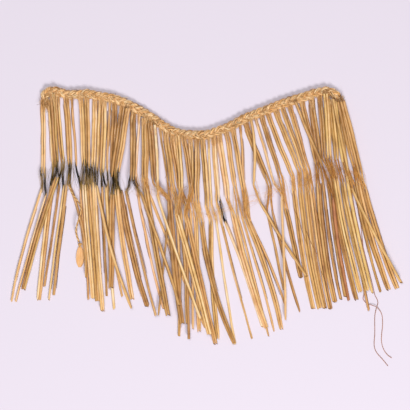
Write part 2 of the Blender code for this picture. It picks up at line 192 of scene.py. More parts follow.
# %% Smooth lines and their sideways direction
def smooth_line(knots, spacing):
    """Points about `spacing` apart on a Catmull-Rom curve through the knots."""
    p = np.array(knots, float)
    p = np.vstack([2 * p[0] - p[1], p, 2 * p[-1] - p[-2]])
    fine = []
    for i in range(1, len(p) - 2):
        for t in np.linspace(0, 1, 40, endpoint=False):
            a, b, c, d = p[i - 1:i + 3]
            fine.append(0.5 * (2 * b + (c - a) * t + (2 * a - 5 * b + 4 * c - d) * t ** 2
                               + (3 * b - a - 3 * c + d) * t ** 3))
    fine = np.array(fine + [p[-2]])
    run = np.concatenate([[0], np.cumsum(np.hypot(*np.diff(fine, axis=0).T))])
    at = np.linspace(0, run[-1], max(2, round(run[-1] / spacing) + 1))
    return np.column_stack([np.interp(at, run, fine[:, k]) for k in (0, 1)])


def sideways(path):
    """Unit vectors across the path, to its right as it runs down the skirt."""
    step = np.diff(path, axis=0)
    step /= np.linalg.norm(step, axis=1)[:, None]
    way = np.vstack([step[:1], step[:-1] + step[1:], step[-1:]])
    way /= np.linalg.norm(way, axis=1)[:, None]
    return np.column_stack([-way[:, 1], way[:, 0]])


band_fine = smooth_line(BAND_LINE, 1.0)
print("waistband length, mm:", len(band_fine) - 1)

# %% Laying one strand after another
laid = []            # rods already on the table: x, y, z, x, y, z, radius


def press(path, height, radius):
    """Note a rod that now lies there, as straight rods from ring to ring."""
    for i in range(len(path) - 1):
        laid.append((*path[i], height[i], *path[i + 1], height[i + 1],
                     max(radius[i], radius[i + 1])))


def needed(points, radius):
    """The height that an axis must keep at each point to clear all that is laid."""
    least = LOW * radius
    if not laid:
        return least
    rods = np.array(laid)
    a, b = rods[None, :, 0:2], rods[None, :, 3:5]
    ab = b - a
    t = ((points[:, None] - a) * ab).sum(2) / (ab ** 2).sum(2)
    t = np.clip(t, 0, 1)
    apart = np.linalg.norm(points[:, None] - a - t[..., None] * ab, axis=2)
    reach = radius[:, None] + rods[None, :, 6] + GAP
    top = rods[None, :, 2] * (1 - t) + rods[None, :, 5] * t
    top = top + np.sqrt(np.maximum(reach ** 2 - apart ** 2, 0))
    return np.maximum(least, np.where(apart < reach, top, 0).max(1))


def settle(chains, shared, together, drop):
    """Heights of the rings of one strand's chains, resting on what is laid.

    The first `shared` rings of two chains keep one height, or all of them when
    `together`. Past a support a chain comes down along a parabola of the rate `drop`.
    """
    profile = []
    for path, radius in chains:
        run = np.concatenate([[0], np.cumsum(np.hypot(*np.diff(path, axis=0).T))])
        s = np.linspace(0, run[-1], int(run[-1] / SPACING) + 2)
        at = np.column_stack([np.interp(s, run, path[:, k]) for k in (0, 1)])
        profile.append((run, s, needed(at, np.interp(s, run, radius))))
    height = []
    for run, s, need in profile:
        height.append((need[None] - drop * (run[:, None] - s[None]) ** 2).max(1))
    for _ in range(ROUNDS):
        if len(chains) == 2:
            n = len(height[0]) if together else shared
            top = np.maximum(height[0][:n], height[1][:n])
            height[0][:n] = height[1][:n] = top
        for (run, s, need), z in zip(profile, height):
            short = need - np.interp(s, run, z)
            for i in range(len(run) - 1):
                inside = (s >= run[i] - 0.01) & (s <= run[i + 1] + 0.01)
                lack = short[inside].max() if inside.any() else 0
                if lack > 0:
                    z[i] += lack
                    z[i + 1] += lack
                    short = need - np.interp(s, run, z)
    return height


# %% Lay everything down: the thin strings, the strands, then the cord
def edge(x):
    """The waistband's lower edge at this x."""
    half = BAND_WIDTH / 2
    near = band_fine[np.abs(band_fine[:, 0] - x) < half]
    if not len(near):
        return EDGE_AT_ENDS
    return (near[:, 1] - np.sqrt(half ** 2 - (near[:, 0] - x) ** 2)).min()


def strip_paths(row):
    """Each strip of a strand as ring centres in plan, with the radius at every ring.

    Three rings follow the upper roll in a straight line with a sideways sag, one is in
    the middle of the fibre, and four follow the lower roll with its bow.
    """
    at, kx, ky, sag, count, _, *legs = row
    width = count * ROLL + GAP
    top = min(edge(x) for x in np.linspace(at - width, at + width, 9)) - 0.3
    t = np.linspace(0, 1, UPPER_RINGS)[:, None]
    upper = (1 - t) * np.array([[at, top]]) + t * np.array([[kx, ky]])
    upper[:, 0] += (sag * 4 * t * (1 - t))[:, 0]
    chains = []
    for side in ((0,) if count == 1 else (-1, 1)):
        lx, ly, tx, ty, bow = legs[-1 if side == 1 else 0]
        t = np.linspace(0, 1, LOWER_RINGS)[:, None]
        lower = (1 - t) * np.array([[lx, ly]]) + t * np.array([[tx, ty]])
        lower[:, 0] += (bow * 4 * t * (1 - t))[:, 0]
        path = np.vstack([upper, [[(kx + lx) / 2, (ky + ly) / 2]], lower])
        radius = np.full(len(path), ROLL)
        radius[UPPER_RINGS] = FIBRE
        radius[-1] = ROLL * TIP
        across = sideways(path)
        if len(legs) == 2:
            across[UPPER_RINGS - 1] = sideways(upper)[-1]
            path[:UPPER_RINGS] += side * LOBE * ROLL * across[:UPPER_RINGS]
        else:
            path = path + side * LOBE * radius[:, None] * across
        chains.append((path, radius))
    return chains


def lay_cord(line, radius):
    """A round cord's centre line in millimetres, over whatever is laid already."""
    path = smooth_line(line, max(radius * 5, CORD_STEP))
    r = np.full(len(path), radius)
    z, = settle([(path, r / LOW)], 0, False, LIMP)
    press(path, z, r)
    return np.column_stack([path, z])


for (y0, w0, h0), (y1, w1, h1) in zip(KNOT, KNOT[1:]):
    for u in np.linspace(-0.8, 0.8, 7):
        high = np.full(2, max(h0, h1))
        press(np.array([(KNOT_X + u * w0, y0), (KNOT_X + u * w1, y1)]), high, high)
knot_rods = len(laid)
cord_lines = {"tie_string_b": lay_cord(STRING_B, STRING),
              "tie_string_a": lay_cord(STRING_A, STRING)}

strips = {}          # a strand's name to its strips, each as rings of x, y, z
for name, row in sorted(zip(names, STRANDS), key=lambda pair: pair[1][LAYER]):
    chains = strip_paths(row)
    heights = settle(chains, UPPER_RINGS, len(row) < FORKED, SETTLE)
    strips[name] = []
    for (path, radius), z in zip(chains, heights):
        press(path, z, radius)
        strips[name].append(np.column_stack([path, z]))
del laid[:knot_rods]         # the cord runs into the knot, so it lies on the rest alone
cord_lines["tie_cord"] = lay_cord(CORD_LINE, CORD)
highest = max(rings[:, 2].max() for held in strips.values() for rings in held)
print("highest ring, mm:", round(highest, 1), " rods laid:", len(laid))

# %% [markdown]
# ## Surfaces from arrays
# A roll of leaf, a hair, a ply of the plait: each is a grid of points, with rows along its
# length and columns round it. One helper turns many such grids into faces at once, with a
# map of its own (round the piece, and along it in centimetres) that materials can read.

# %% Many grids become one skin
class Skin:
    """Points and faces gathered grid by grid, in the table's millimetres."""

    def __init__(self):
        self.points, self.corners, self.sizes, self.places = [], [], [], []
        self.tones, self.tints = [], []
        self.count = 0

    def add(self, grid, round_it, along, tone, ends="fill", tint=0.0):
        """Tubes from a grid (tubes, rings, corners, 3).

        A quad joins corners j and j + 1 of rings i and i + 1. `round_it` holds the map's
        place of each corner, with one more to close the ring, and `along` that of each
        ring. The ends are filled with one face, or as the two faces of a leaf's edge.
        `tone` is one number, one for each tube, or one for each ring of each tube.
        """
        tubes, rings, n = grid.shape[:3]
        t, i, j = np.meshgrid(np.arange(tubes), np.arange(rings - 1), np.arange(n),
                              indexing="ij")
        t, i, j = t.ravel(), i.ravel(), j.ravel()
        k = (j + 1) % n
        row = (t * rings + i) * n
        quads = np.stack([row + j, row + k, row + n + k, row + n + j], 1)
        u = np.stack([round_it[j], round_it[j + 1], round_it[j + 1], round_it[j]], 1)
        v = np.stack([along[t, i], along[t, i], along[t, i + 1], along[t, i + 1]], 1)
        self.keep(quads, np.stack([u, v], 2))
        first = np.arange(tubes)[:, None] * rings * n
        if ends == "leaf":
            a = np.arange(n // 2 - 1)
            across = np.stack([a, n - 1 - a, n - 2 - a, a + 1], 1).ravel()[None]
            shape = (-1, 4)
        else:
            across = np.arange(n)[None, ::-1]
            shape = (-1, n)
        for ring, order in ((0, 1), (rings - 1, -1)):
            held = (first + ring * n + across).reshape(shape)[:, ::order]
            v = np.broadcast_to(along[:, ring, None], (tubes, across.shape[1]))
            u = np.broadcast_to(round_it[across], (tubes, across.shape[1]))
            self.keep(held, np.stack([u, v], 2).reshape(*held.shape, 2)[:, ::order])
        self.points.append(grid.reshape(-1, 3))
        tone = np.asarray(tone)[..., None] if np.ndim(tone) < 2 else tone
        self.tones.append(np.repeat(np.broadcast_to(tone, (tubes, rings)).ravel(), n))
        self.tints.append(np.repeat(np.broadcast_to(tint, (tubes,)), rings * n))
        self.count += tubes * rings * n

    def keep(self, faces, places):
        """Note faces of one size, with their corners' places on the map."""
        self.corners.append((faces + self.count).ravel())
        self.sizes.append(np.full(len(faces), faces.shape[1]))
        self.places.append(places.reshape(-1, 2))

    def piece(self, name, material, slot, sharp=50):
        """One object at the origin with this skin, riding on the skirt's body."""
        points = (np.concatenate(self.points) - (*MIDDLE, 0)) * MM
        corners, sizes = np.concatenate(self.corners), np.concatenate(self.sizes)
        mesh = bpy.data.meshes.new(name)
        mesh.vertices.add(len(points))
        mesh.vertices.foreach_set("co", points.ravel())
        mesh.loops.add(len(corners))
        mesh.loops.foreach_set("vertex_index", corners)
        mesh.polygons.add(len(sizes))
        mesh.polygons.foreach_set("loop_start", np.concatenate([[0], np.cumsum(sizes)[:-1]]))
        mesh.update(calc_edges=True)
        map_ = mesh.uv_layers.new(name="strip")
        map_.data.foreach_set("uv", np.concatenate(self.places).ravel())
        for key, values in (("tone", self.tones), ("tint", self.tints)):
            held = mesh.attributes.new(key, "FLOAT", "POINT")
            held.data.foreach_set("value", np.concatenate(values))
        mesh.shade_smooth()
        mesh.set_sharp_from_angle(angle=math.radians(sharp))
        mesh.materials.append(material)
        obj = put(name, mesh)
        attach(obj, "root")
        return obj


# %% Lines, and the two directions square to them
def frames(lines):
    """Ahead, level side and up at each point of lines (..., points, 3)."""
    ahead = np.gradient(lines, axis=-2)
    ahead /= np.linalg.norm(ahead, axis=-1, keepdims=True)
    side = np.cross(ahead, (0.0, 0.0, 1.0))
    side /= np.linalg.norm(side, axis=-1, keepdims=True) + 1e-9
    return ahead, side, np.cross(side, ahead)


def leaf_map(columns):
    """Places round a leaf that is `columns` points wide: outer face 0 to 1, inner 1 to 2."""
    face = np.linspace(0, 1, columns)
    return np.concatenate([face, 1 + face, [2]])


def run_of(lines):
    """Length along each line to each of its points, in millimetres."""
    step = np.linalg.norm(np.diff(lines, axis=-2), axis=-1)
    return np.concatenate([np.zeros((*step.shape[:-1], 1)), np.cumsum(step, -1)], -1)


def round_tubes(skin, lines, radius, sides, tone):
    """Round tubes along lines (tubes, points, 3).

    A corner is the line's point plus radius · (cos a · side + sin a · up).
    """
    _, side, up = frames(lines)
    a = np.arange(sides)[:, None] * 2 * np.pi / sides
    radius = np.broadcast_to(radius, lines.shape[:2])[..., None, None]
    grid = lines[:, :, None] + radius * (np.cos(a) * side[:, :, None]
                                         + np.sin(a) * up[:, :, None])
    skin.add(grid, np.linspace(0, 1, sides + 1), run_of(lines) / 10, tone)


def thin(rng, radii, count):
    """A radius for each of `count` hairs, between the two of `radii`."""
    return rng.uniform(*radii, count)[:, None]


print("helpers for grids: Skin, frames, run_of, round_tubes, thin")

# %% [markdown]
# ## Finishes
# Dry flax leaf is straw gold with brown streaks along its veins, and slightly glossy,
# because the leaf is waxy; painted shade darkens it at the slit's edges and inside each
# roll. The scraped fibre is hair: dull, tan or dyed black. Both have streaks that run along
# the strip, so one node group makes streaks for all the finishes, and another one makes the
# blotches of age.

# %% A short way to write shader nodes
def add_node(tree, kind, plugs=None, **settings):
    """One shader node with its settings, and its inputs set or linked by name or number."""
    made = tree.nodes.new(kind)
    for name, value in settings.items():       # a group's tree comes before its plugs
        setattr(made, name, value)
    for key, value in (plugs or {}).items():
        if isinstance(value, bpy.types.NodeSocket):
            tree.links.new(value, made.inputs[key])
        else:
            made.inputs[key].default_value = value
    return made


def maths(tree, operation, a, b=0.0, c=0.0):
    """The output of one Math node."""
    return add_node(tree, "ShaderNodeMath", {0: a, 1: b, 2: c}, operation=operation).outputs[0]


def sum_of(tree, total, parts):
    """The total plus each part's value times its factor."""
    for value, factor in parts:
        total = maths(tree, "MULTIPLY_ADD", value, factor, total)
    return total


def noise(tree, vector, scale, detail, roughness=0.5):
    """The value of one Noise Texture node."""
    return add_node(tree, "ShaderNodeTexNoise", {
        "Vector": vector, "Scale": scale, "Detail": detail, "Roughness": roughness}
        ).outputs["Fac"]


def spread(tree, value, least, most):
    """The value from `least` to `most` brought to 0 to 1."""
    return add_node(tree, "ShaderNodeMapRange",
                    {"Value": value, "From Min": least, "From Max": most}).outputs[0]


def new_group(name, inputs, outputs):
    """An empty node group, its tree and its two ends; a value of None has no default."""
    tree = bpy.data.node_groups.new(name, "ShaderNodeTree")
    for key, (kind, value) in inputs.items():
        made = tree.interface.new_socket(key, in_out="INPUT", socket_type=kind)
        if value is not None:
            made.default_value = value
    for key in outputs:
        tree.interface.new_socket(key, in_out="OUTPUT", socket_type="NodeSocketFloat")
    return tree, tree.nodes.new("NodeGroupInput"), tree.nodes.new("NodeGroupOutput")


print("node helpers ready")

# %% The streaks group: long grain on the piece's own map
streaks, ins, outs = new_group(
    "streaks",
    {"Map": ("NodeSocketVector", None), "Seed": ("NodeSocketFloat", 0.0),
     "Across": ("NodeSocketFloat", 20.0), "Along": ("NodeSocketFloat", 0.4)},
    ["Streak", "Fine"])
apart = add_node(streaks, "ShaderNodeSeparateXYZ", {0: ins.outputs["Map"]})
shift = maths(streaks, "MULTIPLY", ins.outputs["Seed"], 31.7)
wide = maths(streaks, "MULTIPLY", apart.outputs[0], ins.outputs["Across"])
long = maths(streaks, "MULTIPLY", apart.outputs[1], ins.outputs["Along"])
spot = add_node(streaks, "ShaderNodeCombineXYZ", {0: wide, 1: long, 2: shift})
for scale, detail, rough, key in ((0.35, 3.0, 0.6, "Streak"), (1.6, 2.0, 0.5, "Fine")):
    grain = noise(streaks, spot.outputs[0], scale, detail, rough)
    streaks.links.new(spread(streaks, grain, 0.28, 0.72), outs.inputs[key])
print("group:", streaks.name)

# %% The age group: brown blotches on the object's own place
age, ins, outs = new_group(
    "age", {"Place": ("NodeSocketVector", None), "Size": ("NodeSocketFloat", 60.0),
            "Amount": ("NodeSocketFloat", 0.5)}, ["Blotch", "Speck"])
large = noise(age, ins.outputs["Place"], ins.outputs["Size"], 4.0, 0.65)
small = noise(age, ins.outputs["Place"], 900.0, 2.0)
for value, least, most, key in ((large, 0.45, 0.72, "Blotch"), (small, 0.66, 0.74, "Speck")):
    seen = spread(age, value, least, most)
    age.links.new(maths(age, "MULTIPLY", seen, ins.outputs["Amount"]), outs.inputs[key])
print("group:", age.name)


# %% Finishes start from one surface shader, its map, its place and its tone
def new_finish(name, specular, sheen=0.0):
    """A material with a Principled BSDF, and the three things that its patterns read."""
    mat = bpy.data.materials.new(name)
    mat.use_nodes = True
    tree = mat.node_tree
    shader = tree.nodes["Principled BSDF"]
    shader.inputs["Specular IOR Level"].default_value = specular
    shader.inputs["Sheen Weight"].default_value = sheen
    shader.inputs["Sheen Roughness"].default_value = 0.5
    own_map = add_node(tree, "ShaderNodeUVMap", uv_map="strip").outputs[0]
    place = add_node(tree, "ShaderNodeTexCoord").outputs["Object"]
    tone = add_node(tree, "ShaderNodeAttribute", attribute_name="tone").outputs["Fac"]
    return mat, tree, shader, own_map, place, tone


def colour_ramp(tree, value, stops):
    """A colour ramp's output; stops are (position, (red, green, blue))."""
    ramp = add_node(tree, "ShaderNodeValToRGB", {0: value})
    held = ramp.color_ramp.elements
    while len(held) < len(stops):
        held.new(0.5)
    for element, (position, colour) in zip(held, stops):
        element.position = position
        element.color = (*colour, 1)
    return ramp.outputs[0]


def raise_grain(tree, shader, height, distance):
    """Bump from a height between 0 and 1, `distance` metres deep."""
    bump = add_node(tree, "ShaderNodeBump", {"Height": height, "Distance": distance,
                                             "Strength": 1.0})
    tree.links.new(bump.outputs[0], shader.inputs["Normal"])


# %% Leaf: straw gold to brown, streaked along its veins
LEAF_STOPS = [(0.0, (0.085, 0.032, 0.008)), (0.25, (0.29, 0.130, 0.033)),
              (0.5, (0.57, 0.305, 0.093)), (0.75, (0.79, 0.485, 0.195)),
              (1.0, (0.91, 0.71, 0.47))]


def leaf_finish(name, stops):
    """Leaf from brown to gold by its tone, with painted shade at the slit's edges and inside the
    roll.
    """
    mat, tree, shader, own_map, place, tone = new_finish(name, 0.6)
    grain = add_node(tree, "ShaderNodeGroup",
                     {"Map": own_map, "Seed": tone, "Across": 14.0, "Along": 0.35},
                     node_tree=streaks)
    worn = add_node(tree, "ShaderNodeGroup", {"Place": place, "Size": 45.0, "Amount": 0.6},
                    node_tree=age)
    apart = add_node(tree, "ShaderNodeSeparateXYZ", {0: own_map})
    # outside, the map's first value runs from edge 0 to edge 1; the inside is from 1 to 2
    # painted shade: the leaf darkens near both edges of its outer face, at the slit, and over its
    # whole inner face inside the roll
    edge_and_inside_shade = maths(tree, "ABSOLUTE", maths(tree, "SUBTRACT", apart.outputs[0], 0.5))
    edge_and_inside_shade = spread(tree, edge_and_inside_shade, 0.42, 0.52)
    shade = sum_of(tree, -0.17, [(grain.outputs["Streak"], 0.34), (grain.outputs["Fine"], 0.14),
                                 (tone, 1.0), (edge_and_inside_shade, -0.42), (worn.outputs["Blotch"], -0.28),
                                 (worn.outputs["Speck"], -0.3)])
    tint = add_node(tree, "ShaderNodeAttribute", attribute_name="tint").outputs["Fac"]
    hue = maths(tree, "MULTIPLY_ADD", tint, 0.05, 0.5)
    colour = add_node(tree, "ShaderNodeHueSaturation",
                      {"Hue": hue, "Color": colour_ramp(tree, shade, stops)})
    tree.links.new(colour.outputs[0], shader.inputs["Base Color"])
    rough = sum_of(tree, 0.26, [(grain.outputs["Fine"], 0.16), (worn.outputs["Blotch"], 0.3)])
    tree.links.new(rough, shader.inputs["Roughness"])
    raise_grain(tree, shader, grain.outputs["Fine"], 0.00012)
    return mat


leaf = leaf_finish("rolled_leaf", LEAF_STOPS)
tab_leaf = leaf_finish("leaf_tab", [
    (0.0, (0.28, 0.11, 0.035)), (0.4, (0.60, 0.29, 0.095)), (0.75, (0.80, 0.44, 0.17)),
    (1.0, (0.88, 0.60, 0.32))])
print("finishes:", leaf.name, tab_leaf.name)


# %% Fibre: hair in tan, in black dye, plaited, and twisted into twine
def fibre_finish(name, stops, roughness=0.7, sheen=0.1, across=9.0, deep=0.0001, specular=0.3):
    """Hair that is streaked along its length and shaded by its tone."""
    mat, tree, shader, own_map, place, tone = new_finish(name, specular, sheen)
    grain = add_node(tree, "ShaderNodeGroup",
                     {"Map": own_map, "Seed": tone, "Across": across, "Along": 1.2},
                     node_tree=streaks)
    worn = add_node(tree, "ShaderNodeGroup", {"Place": place, "Size": 120.0, "Amount": 0.5},
                    node_tree=age)
    shade = sum_of(tree, -0.15, [(grain.outputs["Streak"], 0.30), (grain.outputs["Fine"], 0.18),
                                 (tone, 1.0), (worn.outputs["Blotch"], -0.24)])
    tree.links.new(colour_ramp(tree, shade, stops), shader.inputs["Base Color"])
    rough = maths(tree, "MULTIPLY_ADD", grain.outputs["Fine"], 0.2, roughness - 0.1)
    tree.links.new(rough, shader.inputs["Roughness"])
    raise_grain(tree, shader, grain.outputs["Fine"], deep)
    return mat


bare = fibre_finish("bare_fibre", [
    (0.0, (0.13, 0.042, 0.008)), (0.35, (0.46, 0.185, 0.038)), (0.65, (0.76, 0.385, 0.105)),
    (1.0, (0.90, 0.64, 0.32))], sheen=0.0)
dyed = fibre_finish("dyed_fibre", [
    (0.0, (0.005, 0.004, 0.003)), (0.5, (0.016, 0.011, 0.006)), (0.72, (0.15, 0.095, 0.03)),
    (1.0, (0.42, 0.26, 0.085))], roughness=0.8, sheen=0.0, specular=0.1)
plaited = fibre_finish("plaited_fibre", [
    (0.0, (0.13, 0.050, 0.012)), (0.35, (0.50, 0.23, 0.065)), (0.65, (0.82, 0.45, 0.165)),
    (1.0, (0.95, 0.70, 0.40))], across=7.0, deep=0.0002)
twine = fibre_finish("twine", [
    (0.0, (0.16, 0.055, 0.028)), (0.5, (0.38, 0.165, 0.095)), (1.0, (0.60, 0.34, 0.23))],
    across=8.0)
gold_twine = fibre_finish("gold_twine", [
    (0.0, (0.16, 0.065, 0.015)), (0.4, (0.50, 0.25, 0.07)), (0.75, (0.76, 0.46, 0.17)),
    (1.0, (0.88, 0.66, 0.36))], across=6.0)
print("finishes:", bare.name, dyed.name, plaited.name, twine.name, gold_twine.name)

# %% [markdown]
# ## The ties
# At the wearer's right a twisted cord ends in a knot with a flat leaf tab. At the wearer's
# left two thin strings run out from under the strands. A twisted cord is two plies that
# turn round each other, so each ply is a tube along a helix about the cord's line.

# %% Two plies round a line
def finer(line, spacing):
    """The line again, with smooth points about `spacing` apart."""
    run = run_of(line)
    at = np.linspace(0, run[-1], int(run[-1] / spacing) + 2)
    t = np.searchsorted(run, at, side="right").clip(1, len(run) - 1)
    part = ((at - run[t - 1]) / (run[t] - run[t - 1]))[:, None]
    slope = np.gradient(line, run, axis=0)
    span = (run[t] - run[t - 1])[:, None]
    a, b, p, q = line[t - 1], line[t], slope[t - 1] * span, slope[t] * span
    return (a + part * p + part ** 2 * (3 * (b - a) - 2 * p - q)
            + part ** 3 * (2 * (a - b) + p + q))


def twist_plies(skin, line, radius, pitch, tone, contrast, plies=2, sides=7):
    """Plies of a twisted cord: ply k turns about the line at angle 2π(run / pitch + k / n)."""
    line = finer(line, pitch / 9)
    line[:, 2] = np.maximum(line[:, 2], radius)
    _, side, up = frames(line)
    turn = 2 * np.pi * (run_of(line)[None] / pitch + np.arange(plies)[:, None] / plies)
    ply = radius * 0.54
    lines = line[None] + (radius - ply) * (np.cos(turn)[..., None] * side[None]
                                           + np.sin(turn)[..., None] * up[None])
    round_tubes(skin, lines, ply, sides, np.linspace(tone - contrast, tone + contrast, plies))
    return line


def tie(name, radius, pitch, tone, contrast, finish, slot):
    """One tie: its mesh of plies, with the solid that it stands for hidden."""
    skin = Skin()
    line = twist_plies(skin, cord_lines[name], radius, pitch, tone, contrast)
    obj = skin.piece(name + "_plies", finish, slot)
    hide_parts(name)


# %% The knot and its leaf tab
TAB_COLUMNS, TAB_THICK = 15, 0.35   # points across the leaf, and its thickness, mm
TAB_ROWS = KNOT[3:]                # the sections of the solid knot that the leaf covers


def knot_and_tab():
    """A knot as one ring of cord wound about itself, and a flat dry leaf."""
    wound = Skin()
    t = np.linspace(0, 2 * np.pi, 72)
    # a trefoil: (sin t + 2 sin 2t, cos t - 2 cos 2t, -sin 3t)
    trefoil = np.stack([np.sin(t) + 2 * np.sin(2 * t), np.cos(t) - 2 * np.cos(2 * t),
                        -np.sin(3 * t)], 1)
    middle = np.array([KNOT_X, -46.4, 2.6])
    round_tubes(wound, (middle + trefoil * (0.75, 1.1, 1.0))[None], 1.15, 8, 0.55)
    knot = wound.piece("tie_knot", gold_twine, "gold_twine")
    y, half = (np.array([row[k] for row in TAB_ROWS]) for k in (0, 1))
    s = np.linspace(0, 1, 26)
    down = y[0] + (y[-1] - y[0]) * s
    wide = np.interp(down, y[::-1], half[::-1])
    wide = np.convolve(np.pad(wide, 2, mode="edge"), np.ones(5) / 5, "valid")
    u = np.linspace(-1, 1, TAB_COLUMNS)
    curl = 0.5 + 0.9 * u[None] ** 2 * np.sin(np.pi * s)[:, None] + 0.25 * np.sin(
        5 * u[None] + 9 * s[:, None])
    top = np.stack([KNOT_X + wide[:, None] * u[None] + 0.6 * np.sin(4 * s)[:, None],
                    np.broadcast_to(down[:, None], curl.shape), curl + TAB_THICK], 2)
    low = top - (0, 0, TAB_THICK)
    sheet = Skin()
    grid = np.concatenate([top, low[:, ::-1]], 1)[None, :, ::-1]
    sheet.add(grid, leaf_map(TAB_COLUMNS)[::-1], run_of(top[:, TAB_COLUMNS // 2])[None] / 10, 0.62,
              ends="leaf")
    return knot, sheet.piece("tie_tab", tab_leaf, "leaf_tab")


knot, tab = knot_and_tab()
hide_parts("tie_knot_tab")
tie("tie_cord", CORD, 7.5, 0.50, 0.22, gold_twine, "gold_twine")
tie("tie_string_a", STRING, 3.4, 0.55, 0.08, twine, "twine")
tie("tie_string_b", STRING, 3.4, 0.45, 0.08, twine, "twine")

# %% [markdown]
# ## The plait
# The waistband is a flat plait of three bundles of fibre. In a plait each bundle swings from
# edge to edge once a period and goes over or under twice, so with phase p its place is
# A sin p across and B sin 2p up, and the three phases are a third of a turn apart.

# %% Three bundles over and under
band_run = run_of(band_fine)[-1]
PLAIT_PERIOD = 3 * BAND_PITCH
SWING, LIFT = 4.25, 1.45           # A and B, mm
BUNDLE_WIDE, BUNDLE_HIGH = 3.15, 2.1   # a bundle's half width and half height, mm
SHADED_CORE = 1.8                         # radius of a bundle's core, mm; its near-black tone is painted shade where the locks part


def taper(at, reach, least=0.0):
    """From `least` at the band's two ends to 1 a distance `reach` from them."""
    return np.clip(np.minimum(at, band_run - at) / reach, least, 1) ** 0.5


def plait_lines(at, phase):
    """Centre line of a bundle at distances `at` along the band (any shape)."""
    run = np.arange(len(band_fine), dtype=float) * band_run / (len(band_fine) - 1)
    x, y = (np.interp(at, run, band_fine[:, k]) for k in (0, 1))
    turned = sideways(band_fine)
    nx, ny = (np.interp(at, run, turned[:, k]) for k in (0, 1))
    p = 2 * np.pi * at / PLAIT_PERIOD + phase
    swing = SWING * (0.35 + 0.65 * taper(at, 9)) * np.sin(p)
    return np.stack([x + swing * nx, y + swing * ny,
                     BAND_HEIGHT / 2 + LIFT * np.sin(2 * p)], -1)


def about_bundle(line, away, angle):
    """Points at an angle round a bundle's line, `away` times its half sizes from it."""
    _, side, up = frames(line)
    return (line + (BUNDLE_WIDE * away * np.cos(angle))[..., None] * side
            + (BUNDLE_HIGH * away * np.sin(angle))[..., None] * up)


def smooth_noise(rng, count, points, step):
    """`count` rows of noise between about -1 and 1 that changes every `step` points."""
    knots = rng.normal(0, 0.6, (count, points // step + 3))
    at = np.linspace(0, knots.shape[1] - 1, points)
    return np.array([np.interp(at, np.arange(knots.shape[1]), row) for row in knots])


LOCKS = 8                          # locks of hair round one bundle
skin = Skin()
at = np.linspace(1.0, band_run - 1.0, 400)
for third in range(3):
    rng = np.random.default_rng(20 + third)
    line = plait_lines(at, 2 * np.pi * third / 3)
    swell = taper(at, 7, 0.25) * (1 + 0.14 * smooth_noise(rng, 1, len(at), 7)[0])
    # the core's near-black tone is painted shade, seen between the locks
    round_tubes(skin, line[None], SHADED_CORE * swell, 10, 0.05)
    # lock k lies round the bundle at angle 2πk / LOCKS, and wanders along it
    angle = (2 * np.pi * np.arange(LOCKS)[:, None] / LOCKS + at / 16
             + 0.35 * smooth_noise(rng, LOCKS, len(at), 8))
    away = swell * (0.72 + 0.14 * smooth_noise(rng, LOCKS, len(at), 5))
    locks = about_bundle(line, away, angle)
    thick = 0.80 * swell * (1 + 0.3 * smooth_noise(rng, LOCKS, len(at), 6))
    locks[..., 2] = np.maximum(locks[..., 2], thick + 0.02)
    tone = 0.69 + rng.normal(0, 0.12, LOCKS)[:, None] + 0.28 * smooth_noise(
        rng, LOCKS, len(at), 3)
    round_tubes(skin, locks, thick, 5, np.clip(tone, 0, 1))
plait = skin.piece("waistband_plait", plaited, "plaited_fibre", 80)
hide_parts("waistband")
print("waistband, mm:", round(band_run), "crossings:", round(band_run / BAND_PITCH))

# %% Hairs that follow the bundles and stand out of the plait
rng = np.random.default_rng(31)
many = 2600                        # hairs on the plait
HAIR_TOP = 8.6                     # how high the plait's hairs stand, mm
start = rng.uniform(2, band_run - 12, many)
reach = rng.uniform(5, 15, many)
along = start[:, None] + reach[:, None] * np.linspace(0, 1, 8)
along = np.clip(along, 0.5, band_run - 0.5)
phase = 2 * np.pi * rng.integers(0, 3, many) / 3
line = plait_lines(along, phase[:, None])
angle = rng.uniform(0, 2 * np.pi, many)[:, None] + 0.04 * (along - start[:, None])
away = 1.04 + rng.gamma(1.2, 0.22, many)[:, None] * np.linspace(-1, 1, 8) ** 2
hair = about_bundle(line, away, angle)
hair[..., 2] = np.clip(hair[..., 2], 0.15, HAIR_TOP)
skin = Skin()
round_tubes(skin, hair, thin(rng, (0.08, 0.19), many), 3,
            rng.choice([0.05, 0.4, 0.7, 0.95], many))
skin.piece("waistband_hairs", plaited, "plaited_fibre")
print("hairs on the plait:", many)

# %% [markdown]
# ## The rolled leaves
# A leaf strip dries into a tube because its two faces shrink unevenly: its edges curl in
# until one lies just inside the other. So a roll's section is a spiral. At angle a from the
# slit the leaf is (1 - tuck · a / turns) of the way out, its inner face is a wall's
# thickness further in, and the whole section is a little flatter than it is wide.

